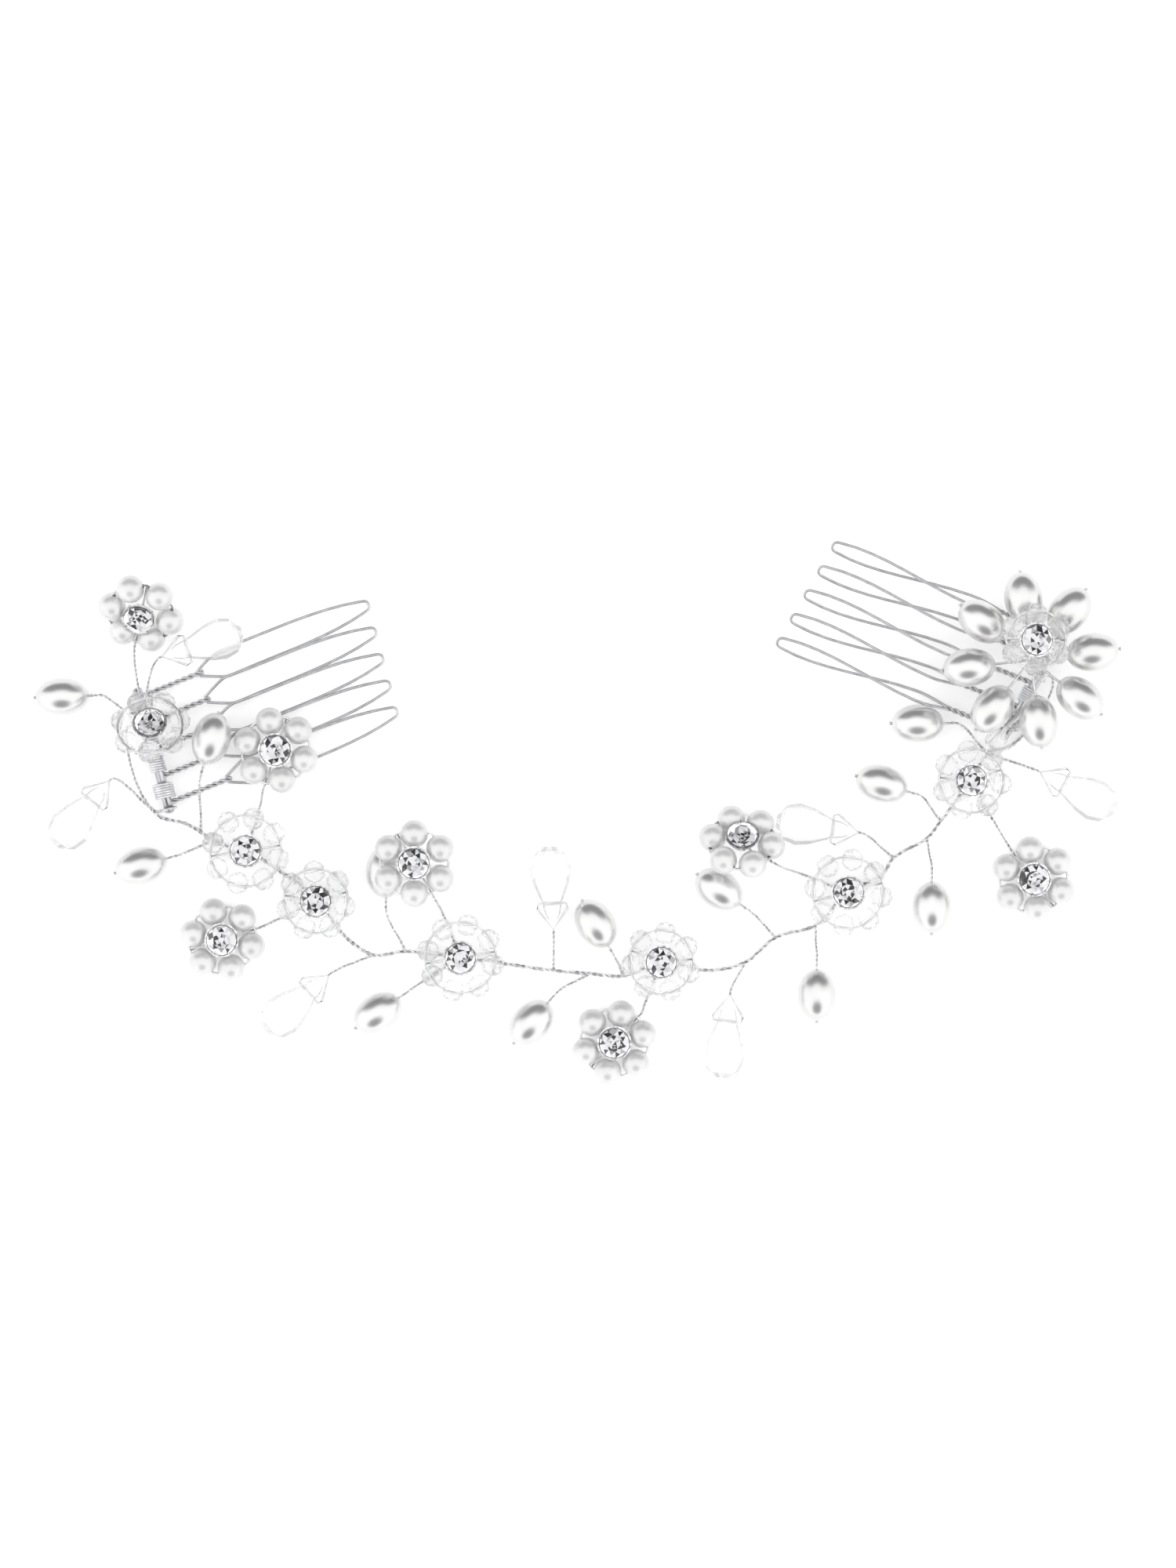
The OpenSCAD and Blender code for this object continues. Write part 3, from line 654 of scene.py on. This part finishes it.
# Each has its two tones. Then pearls have metallic and roughness, metals have roughness and, where it isn't
# the usual one, how fine the mottle is, and glass has roughness, index of refraction and how much of it shows
OVAL_PEARL = pearl_material("oval_pearl_lustre", (0.74, 0.735, 0.73), (0.78, 0.775, 0.77), 0.8, 0.28)
ROUND_PEARL = pearl_material("round_pearl_lustre", (0.77, 0.77, 0.765), (0.82, 0.82, 0.815), 0.3, 0.3)
SILVER = metal_material("silver_wire", (0.58, 0.58, 0.59), (0.76, 0.76, 0.77), 0.3)
COIL_SILVER = metal_material("coil_wire", (0.72, 0.72, 0.73), (0.88, 0.88, 0.89), 0.4)
COMB_SILVER = metal_material("comb_wire", (0.5, 0.5, 0.51), (0.62, 0.62, 0.63), 0.3)
# Cups: silver with painted reflections, small dark and bright specks at random
CUP_SILVER_PAINTED_SPECKS = metal_material("cup_silver_painted_specks", (0.4, 0.4, 0.41), (0.95, 0.95, 0.96), 0.45, CUP_PAINTED_SPECKS)
CRYSTAL = glass_material("clear_crystal", (0.98, 0.98, 0.985), (1.0, 1.0, 1.0), 0.02, 1.4, 0.5)
DROP_GLASS = glass_material("drop_glass", (0.985, 0.985, 0.985), (1.0, 1.0, 1.0), 0.03, 1.4, 0.6)
STONE_GLASS = glass_material("stone_glass", (0.98, 0.98, 0.985), (1.0, 1.0, 1.0), 0.0, 1.5, 1.0)
# Foil with painted reflections on its facets
FOIL_WITH_PAINTED_REFLECTIONS = painted_reflection_foil_material("stone_foil_painted_reflections")


def place_piece(piece, node):
    """Shows a piece instead of a CAD node."""
    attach(piece, "root")
    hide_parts(node)


# Pearls

def build_pearls():
    for i in range(len(OVALS)):
        shape = Shape()
        drilled_oval(shape, OVAL_LEN, OVAL_D, oval_frame(i), OVAL_FINENESS)
        piece = shape.build(f"oval_pearl_smooth_{i + 1}", [OVAL_PEARL], PEARL_SMOOTH)
        place_piece(piece, f"oval_pearl_{i + 1}")
    shape = Shape()
    for i in range(PETALS):
        drilled_oval(shape, OVAL_LEN, OVAL_D, petal_frame(i), OVAL_FINENESS)
    piece = shape.build("large_flower_pearls", [OVAL_PEARL], PEARL_SMOOTH)
    place_piece(piece, "large_flower_petals")
    for i in range(len(PEARL_FLOWERS)):
        shape = Shape()
        for place in bead_frames(pearl_frame(i), PEARLS, PEARL_D):
            drilled_oval(shape, PEARL_D, PEARL_D, place @ spin(90, "Z"), ROUND_FINENESS)
        piece = shape.build(f"pearl_flower_smooth_{i + 1}", [ROUND_PEARL], PEARL_SMOOTH)
        place_piece(piece, f"pearl_flower_{i + 1}")


# Clear beads

def crystal_ring(name, place, count, replaced, chance):
    """A ring of clear beads, each turned by chance round its thread."""
    shape = Shape()
    for bead in bead_frames(place, count, CRYSTAL_D):
        cut_bead(shape, bead @ spin(chance.uniform(0, BEAD_TURN), "Y"))
    place_piece(shape.build(name, [CRYSTAL]), replaced)


def build_crystals():
    chance = random.Random(BEAD_SEED)
    for i, (_, _, count) in enumerate(CRYSTAL_FLOWERS):
        name = f"crystal_flower_cut_{i + 1}"
        crystal_ring(name, crystal_frame(i), count, f"crystal_flower_{i + 1}", chance)
    crystal_ring("bar_flower_cut", bar_flower_frame(), BAR_FLOWER[3], "bar_flower_crystals", chance)
    crystal_ring("top_flower_cut", top_frame(), TOP_BEADS, "top_flower_crystals", chance)
    shape = Shape()
    first, heading = END_BEADS
    for i in (0, 1):
        place = shift(*first) @ spin(heading, "Z") @ shift(i * END_STEP, 0, 0) @ spin(-90, "Z")
        cut_bead(shape, place @ spin(chance.uniform(0, BEAD_TURN), "Y"))
    place_piece(shape.build("end_crystals_cut", [CRYSTAL]), "end_crystals")


# Centre stones

def build_stones():
    hubs = []
    for i in range(len(PEARL_FLOWERS)):
        hubs.append((f"pearl_flower_stone_{i + 1}", pearl_frame(i), PEARL_HUB))
    for i in range(len(CRYSTAL_FLOWERS)):
        hubs.append((f"crystal_flower_stone_{i + 1}", crystal_frame(i), CRYSTAL_HUB))
    hubs.append(("bar_flower_stone", bar_flower_frame(), CRYSTAL_HUB))
    hubs.append(("top_flower_stone", top_frame(), TOP_HUB))
    chance = random.Random(STONE_SEED)
    for node, place, hub in hubs:
        turn = spin(chance.uniform(-STONE_TURN, STONE_TURN), "Z")
        shape = Shape()
        brilliant(shape, place @ shift(0, 0, hub + CUP_GAP + SEAT_Z) @ turn)
        place_piece(shape.build(f"{node}_cut", [STONE_GLASS, FOIL_WITH_PAINTED_REFLECTIONS]), node)


# Wires

def comb_point(c, x, y, z):
    return comb_frame(c) @ Vector((x, y, z))


def from_side(c, g):
    """Start of a wire that leaves a comb's vine loop g square to the bar, away from the teeth."""
    loop = COMBS[c]["loops"][g]
    return [comb_point(c, -r, loop, 0) for r in (LOOP_R, BESIDE + (MAIN_D - SPRIG_D) / 2)]


def from_top(c, g):
    """Start of a wire that leaves a comb's vine loop g upwards."""
    loop = COMBS[c]["loops"][g]
    return [comb_point(c, 0, loop, r) for r in (LOOP_R, BESIDE)]


def sprig_start(i):
    """First points of a sprig: a station of the main wire, or a loop of the left comb."""
    loops = {UPPER_SIDE: from_side(LEFT, 0), LOWER_SIDE: from_side(LEFT, 1), UPPER_TOP: from_top(LEFT, 0)}
    return loops[i] if i in loops else [station(i)]


def sprig_run(i):
    """How far a sprig stays low: from the middle of a flower, until it is clear of the ring."""
    widest = max(count for _, _, count in CRYSTAL_FLOWERS)
    under = ring_of(widest, CRYSTAL_D) + CRYSTAL_D / 2 + CLEARANCE
    return under if i in [f[0] for f in CRYSTAL_FLOWERS] else BARE_RUN


def sprig_points(start, finish, heading, reach, run):
    """A sprig, level for its first run and straight for its last reach."""
    last = start[-1]
    knee = finish - reach * ahead(heading)
    way = Vector((knee.x - last.x, knee.y - last.y, 0)).normalized()
    return start + [last + run * way, knee, finish]


def ring_wires(shape, place, count, size, hub, sag):
    """The thread through a ring of beads of a size, and the one across it that carries the cup."""
    corner = ring_of(count, size) / math.cos(math.pi / count)
    far = 360 / count * (count // 2)
    ring = [place @ (corner * ahead(360 * i / count)) for i in range(count)]
    tube(shape, smooth_ring(ring), THREAD_D, THREAD_SIDES, closed=True)
    drop = Vector((0, 0, -sag))
    low = corner - SAG_RUN
    across = [corner * SIDE, low * SIDE + drop, Vector((0, 0, hub)), low * ahead(far) + drop,
              corner * ahead(far)]
    tube(shape, smooth_line([place @ p for p in across], THREAD_STEP), THREAD_D, THREAD_SIDES)


def smooth_ring(points):
    """A closed line with its corners rounded."""
    n = len(points)
    found = []
    for i in range(n):
        p0, p1, p2, p3 = points[i - 1], points[i], points[(i + 1) % n], points[(i + 2) % n]
        length = (p2 - p1).length
        m1, m2 = bend_at(p0, p1, p2) * length, bend_at(p1, p2, p3) * length
        found += [hermite(p1, m1, p2, m2, k / CORNER_POINTS) for k in range(CORNER_POINTS)]
    return found


def bead_pin(shape, start, long, heading):
    """Wire through a bead from its start, ending in a small head."""
    head = start + (long + HEAD_GAP) * ahead(heading)
    tube(shape, [start, head], THREAD_D)
    cap = shift(*head) @ spin(heading, "Z")
    lathe(shape, HEAD, HEAD_SIDES, cap, closed=False)


def build_vine_wire():
    shape = Shape()
    stem = from_side(LEFT, 1) + [station(i) for i in range(len(ROUTE))] + from_side(RIGHT, 1)[::-1]
    twisted(shape, stem, MAIN_D, MAIN_TWIST)
    for c in (LEFT, RIGHT):
        add_bar_loops(shape, c)
    add_sprigs(shape, random.Random(TWIST_SEED))
    add_ring_wires(shape)
    add_large_flower_wires(shape)
    add_end_wire(shape)
    for i in range(len(DROPS)):
        add_fork(shape, drop_frame(i))
    place_piece(shape.build("vine_wire_twisted", [SILVER], WIRE_SMOOTH), "vine_wire")


def add_bar_loops(shape, c):
    """The two loops round a comb's bar and the wire beside the bar that joins them."""
    place = comb_frame(c)
    first, second = COMBS[c]["loops"]
    angles = [TURN * k / LOOP_POINTS for k in range(LOOP_POINTS)]
    for y in (first, second):
        ring = [place @ Vector((LOOP_R * math.cos(turn), y, LOOP_R * math.sin(turn))) for turn in angles]
        tube(shape, ring, SPRIG_D, closed=True)
    beside = [(-LOOP_R, first), (-BESIDE, first), (-BESIDE, second), (-LOOP_R, second)]
    twisted(shape, [place @ Vector((x, y, 0)) for x, y in beside], SPRIG_D, SPRIG_TWIST)


def add_sprigs(shape, chance):
    """Twisted sprigs of the pearls, flowers and drops, and the plain wires through the oval pearls."""
    for start, x, y, lift, heading in OVALS:
        tip = Vector((x, y, OVAL_D / 2 + lift))
        way = ahead(heading)
        line = sprig_points(sprig_start(start), tip - SPRIG_STOP * way, heading, OVAL_REACH, sprig_run(start))
        twisted(shape, line, SPRIG_D, SPRIG_TWIST, chance.random())
        bead_pin(shape, tip - PIN_START * way, OVAL_LEN + PIN_START, heading)
    for start, x, y, lift, heading, _, _ in PEARL_FLOWERS:
        finish = Vector((x, y, PEARL_D / 2 + lift))
        line = sprig_points(sprig_start(start), finish, heading, PEARL_REACH, sprig_run(start))
        twisted(shape, line, SPRIG_D, SPRIG_TWIST, chance.random())
    for start, x, y, lift, heading in DROPS:
        finish = Vector((x, y, DROP_T / 2 + lift))
        line = sprig_points(sprig_start(start), finish, heading, DROP_REACH, sprig_run(start))
        twisted(shape, line, SPRIG_D, SPRIG_TWIST, chance.random())
    place, heading, _, _ = BAR_FLOWER
    line = sprig_points(sprig_start(UPPER_TOP), Vector(place), heading, BAR_FLOWER_REACH, BAR_FLOWER_RUN)
    twisted(shape, line, SPRIG_D, SPRIG_TWIST)


def add_ring_wires(shape):
    """Threads of the pearl flowers, and of the crystal flowers with the posts under them."""
    for i in range(len(PEARL_FLOWERS)):
        ring_wires(shape, pearl_frame(i), PEARLS, PEARL_D, PEARL_HUB, PEARL_SAG)
    for i, (_, _, count) in enumerate(CRYSTAL_FLOWERS):
        place = crystal_frame(i)
        ring_wires(shape, place, count, CRYSTAL_D, CRYSTAL_HUB, CRYSTAL_SAG)
        post = [place @ Vector((0, 0, z)) for z in (CRYSTAL_HUB, LOW_Z - CRYSTAL_Z)]
        tube(shape, post, THREAD_D)
    ring_wires(shape, bar_flower_frame(), BAR_FLOWER[3], CRYSTAL_D, CRYSTAL_HUB, CRYSTAL_SAG)


def add_end_wire(shape):
    """The thread through the two beads over the right bar's end."""
    first, heading = END_BEADS
    way = ahead(heading)
    beyond = first + END_BEYOND * END_STEP * way
    line = from_top(RIGHT, 1) + [beyond + END_BEND * way - END_DROP * UP, beyond,
                                 first - END_BEHIND * END_STEP * way, END_TURN, station(END_STATION)]
    tube(shape, above_table(smooth_line(line, END_WIRE_STEP), THREAD_D / 2), THREAD_D, THREAD_SIDES)


def add_fork(shape, place):
    """The flat wire fork that holds a drop."""
    half = DROP_W * FORK_SHARE
    bend, inner = FORK_LEN - FORK_BEND, half - FORK_CORNER
    fork = [(0, 0), (bend, half), (FORK_LEN, inner), (FORK_LEN, -inner), (bend, -half)]
    tube(shape, [place @ Vector((x, y, 0)) for x, y in fork], THREAD_D, THREAD_SIDES, closed=True)


def add_large_flower_wires(shape):
    """The post of the large flower, the wires through its petals and the small flower on top."""
    hub = Vector((*LARGE, PETAL_Z))
    tube(shape, from_top(RIGHT, 0) + [hub], MAIN_D)
    for i in range(PETALS):
        bead_pin(shape, hub, PETAL_RING + OVAL_LEN / 2, 360 * i / PETALS + PETAL_TURN)
    tube(shape, [hub, Vector((*TOP_FLOWER, TOP_Z + TOP_HUB))], MAIN_D)
    ring_wires(shape, top_frame(), TOP_BEADS, CRYSTAL_D, TOP_HUB, CRYSTAL_SAG)


# Combs

def add_leg_pair(shape, at, shoulder, tip):
    """The bare wire of a tooth: out along one side, round the tip and back along the other side."""
    leg = [Vector((STEM_LEN + x, s * shoulder[0], s * shoulder[1])) for x, s in LEG_SPREAD]
    leg += [Vector((TOOTH_LEN - x, s * tip[0], s * tip[1])) for x, s in LEG_TIP]
    back = [Vector((p.x, -p.y, -p.z)) for p in reversed(leg)]
    line = [at @ p for p in leg + [Vector((TOOTH_LEN - TOOTH_D / 2, 0, 0))] + back]
    tube(shape, smooth_line(line, TOOTH_STEP), TOOTH_D, TOOTH_SIDES)


def build_comb(c, name):
    comb = COMBS[c]
    place = comb_frame(c)
    shape = Shape()
    half = (TEETH - 1) * PITCH / 2 + BAR_END
    bar = [(-half - x, r) for x, r in reversed(BAR_DOME)] + [(half + x, r) for x, r in BAR_DOME]
    lathe(shape, bar, BAR_SIDES, place @ spin(90, "Z"), closed=False)
    for t in range(TEETH):
        at = place @ shift(0, (t - (TEETH - 1) / 2) * PITCH, 0) @ spin(comb["lean"], "Z")
        stem = [at @ Vector((x, 0, 0)) for x in (0, STEM_LEN)]
        twisted(shape, stem, STEM_D, TOOTH_TWIST, TOOTH_PHASE * t, TOOTH_SIDES)
        add_leg_pair(shape, at, comb["shoulder"], comb["tip"])
    place_piece(shape.build(f"{name}_wire", [COMB_SILVER], WIRE_SMOOTH), name)


def coil_layers(size):
    """Radii of the layers of fine wire that show on a coil: the outer one, and the one under it."""
    inner = BAR_D / 2 + CLEARANCE + COIL_WIRE / 2
    outer = (size - COIL_WIRE) / 2
    count = max(1, round((outer - inner) / COIL_WIRE) + 1)
    return [outer - COIL_WIRE * k for k in range(min(count, 2))]


def wind(shape, place, middle, long, radius):
    """Fine wire wound round the y axis of a frame, with half a turn more than fills the length."""
    run = long - COIL_WIRE
    turns = max(1.0, run / COIL_WIRE) + 0.5
    steps = round(COIL_POINTS * turns)
    line = []
    for k in range(steps + 1):
        angle = TURN * turns * k / steps
        along = middle + run * (k / steps - 0.5)
        line.append(place @ Vector((radius * math.cos(angle), along, radius * math.sin(angle))))
    tube(shape, line, COIL_WIRE)


def coils_on_bar(lean, loops):
    """Middle, length and size of each coil. A gap with a vine loop in it has one on each side of the loop."""
    last = (TEETH - 2) / 2
    coils = []
    for t in range(TEETH - 1):
        gap = t - last
        size = COIL_D if abs(gap) == last else WRAP_D
        free = PITCH - STEM_D / math.cos(rad(lean)) - size * math.tan(rad(lean)) - 2 * CLEARANCE
        if gap * PITCH in loops:
            long = (free - MAIN_D - 2 * CLEARANCE) / 2
            beside = MAIN_D / 2 + CLEARANCE + long / 2
            coils += [(gap * PITCH - beside, long, size), (gap * PITCH + beside, long, size)]
        else:
            coils.append((gap * PITCH, free, size))
    return coils


def build_wrap(c, name):
    """Fine wire wound round the bar between the teeth."""
    shape = Shape()
    for middle, long, size in coils_on_bar(COMBS[c]["lean"], COMBS[c]["loops"]):
        for radius in coil_layers(size):
            wind(shape, comb_frame(c), middle, long, radius)
    place_piece(shape.build(f"{name}_coil", [COIL_SILVER], WIRE_SMOOTH), name)


# Scene

# Floor: half its side in metres, its two tones, its dull finish, and how much it glows, to be as white as the
# photo's
FLOOR_HALF = 3.0
FLOOR_TONES = (0.93, 0.93, 0.93), (0.94, 0.94, 0.94)
FLOOR_ROUGHNESS, FLOOR_SPECULAR = 0.9, 0.1
FLOOR_GLOW = 0.3

# Light tent: its strength and the colour of its dim parts
TENT_STRENGTH = 1.42
DIM = (0.12, 0.12, 0.125, 1)

# Dim band behind the combs, as limits of the direction's y and z; and dim patch in front, as the share of the
# direction's parts that counts, the direction of the patch, and limits of closeness to it
BAND_Y = (0.26, 0.6)
BAND_Z = (0.64, 0.9)
PATCH_WIDTH = (0.5, 1, 1)
PATCH_TOWARD = Vector((0, -0.72, 0.69)).normalized()
PATCH = (0.84, 0.96)


def build_floor():
    material, _, _, shader = new_material("pale_floor")
    mottle(material, *FLOOR_TONES, FLOOR_MOTTLE)
    shader.inputs["Roughness"].default_value = FLOOR_ROUGHNESS
    shader.inputs["Specular IOR Level"].default_value = FLOOR_SPECULAR
    shader.inputs["Emission Color"].default_value = (1, 1, 1, 1)
    shader.inputs["Emission Strength"].default_value = FLOOR_GLOW
    mesh = bpy.data.meshes.new("floor")
    corners = [(x * FLOOR_HALF, y * FLOOR_HALF, 0) for x, y in ((-1, -1), (1, -1), (1, 1), (-1, 1))]
    mesh.from_pydata(corners, [], [(0, 1, 2, 3)])
    mesh.materials.append(material)
    floor = bpy.data.objects.new("floor", mesh)
    bpy.context.scene.collection.objects.link(floor)


def build_light():
    """A white light tent: bright all round, with a dim side behind the combs and a dim patch in front."""
    world = bpy.data.worlds.new("tent")
    bpy.context.scene.world = world
    world.use_nodes = True
    nodes, links = world.node_tree.nodes, world.node_tree.links
    shade = nodes["Background"]
    where = nodes.new("ShaderNodeTexCoord")
    parts = nodes.new("ShaderNodeSeparateXYZ")
    links.new(where.outputs["Generated"], parts.inputs["Vector"])

    def between(socket, low, high, out_low, out_high):
        node = nodes.new("ShaderNodeMapRange")
        node.interpolation_type = "SMOOTHSTEP"
        for name, value in (("From Min", low), ("From Max", high), ("To Min", out_low), ("To Max", out_high)):
            node.inputs[name].default_value = value
        links.new(socket, node.inputs["Value"])
        return node.outputs["Result"]

    def joined(operation, a, b):
        node = nodes.new("ShaderNodeMath")
        node.operation = operation
        links.new(a, node.inputs[0])
        links.new(b, node.inputs[1])
        return node.outputs["Value"]

    behind = joined("MULTIPLY", between(parts.outputs["Y"], *BAND_Y, 0, 1),
                    between(parts.outputs["Z"], *BAND_Z, 1, 0))
    widened = nodes.new("ShaderNodeVectorMath")
    widened.operation = "MULTIPLY"
    widened.inputs[1].default_value = PATCH_WIDTH
    toward = nodes.new("ShaderNodeVectorMath")
    toward.operation = "DOT_PRODUCT"
    toward.inputs[1].default_value = PATCH_TOWARD
    links.new(where.outputs["Generated"], widened.inputs[0])
    links.new(widened.outputs["Vector"], toward.inputs[0])
    patch = between(toward.outputs["Value"], *PATCH, 0, 1)
    dim = joined("MAXIMUM", behind, patch)
    mix = nodes.new("ShaderNodeMix")
    mix.data_type = "RGBA"
    mix.inputs["A"].default_value = (1, 1, 1, 1)
    mix.inputs["B"].default_value = DIM
    links.new(dim, mix.inputs["Factor"])
    links.new(mix.outputs["Result"], shade.inputs["Color"])
    shade.inputs["Strength"].default_value = TENT_STRENGTH


def build_camera():
    data = bpy.data.cameras.new("camera")
    camera = bpy.data.objects.new("camera", data)
    data.sensor_fit = "VERTICAL"
    data.sensor_height = SENSOR
    data.lens = SENSOR * CAMERA_Z / VIEW_H
    data.clip_start, data.clip_end = NEAR, FAR
    camera.location = (VIEW_MIDDLE[0] * MM, VIEW_MIDDLE[1] * MM, CAMERA_Z * MM)
    bpy.context.scene.collection.objects.link(camera)
    bpy.context.scene.camera = camera


def dress_frame():
    """Materials of the CAD nodes that are shown as they are."""
    finishes = {f"glass_drop_{i + 1}": DROP_GLASS for i in range(len(DROPS))}
    # The cups get the silver with painted reflection specks
    finishes["stone_cups"] = CUP_SILVER_PAINTED_SPECKS
    for name, material in finishes.items():
        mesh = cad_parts[name].data
        mesh.materials.clear()
        mesh.materials.append(material)


build_pearls()
build_crystals()
build_stones()
build_vine_wire()
build_comb(LEFT, "comb_left")
build_comb(RIGHT, "comb_right")
build_wrap(LEFT, "bar_wrap_left")
build_wrap(RIGHT, "bar_wrap_right")
dress_frame()
build_floor()
build_light()
build_camera()

bpy.context.scene.view_settings.view_transform = "Standard"
